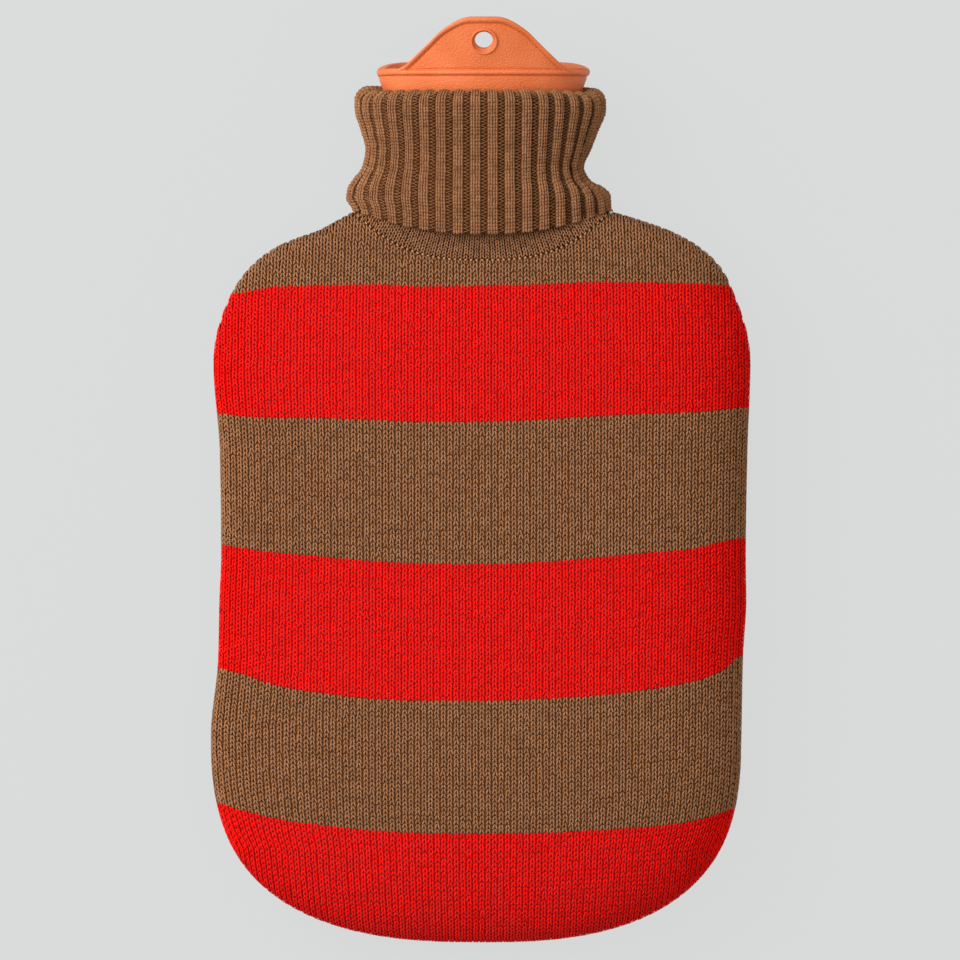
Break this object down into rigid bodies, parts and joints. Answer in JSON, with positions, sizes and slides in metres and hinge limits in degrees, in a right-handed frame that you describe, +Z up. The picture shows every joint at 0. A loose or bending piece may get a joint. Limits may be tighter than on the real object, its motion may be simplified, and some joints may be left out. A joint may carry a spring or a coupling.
{
  "type": "knitted hot water bottle cover with hot water bottle",
  "caption": "Striped plain-knit cover with a ribbed roll collar, fitted over a rubber hot water bottle whose funnel and hanging tab stand out of it.",
  "frame": {"origin": "on the surface that the cover lies on, under the middle of its bounding box", "axes": "+Y from the foot of the cover to the hanging tab, +X to the right as seen from the front, +Z up out of the front"},
  "size_m": [0.2093, 0.3598, 0.0537],
  "materials": {
    "knit_panels": "matte plain knit in stripes of red and brown yarn",
    "rib_collar": "matte rib knit in brown yarn",
    "coral_rubber": "satin moulded rubber"
  },
  "bodies": {
    "root": {"front_panel": "knit_panels", "back_panel": "knit_panels", "collar": "rib_collar", "bottle": "coral_rubber"}
  },
  "joints": []
}
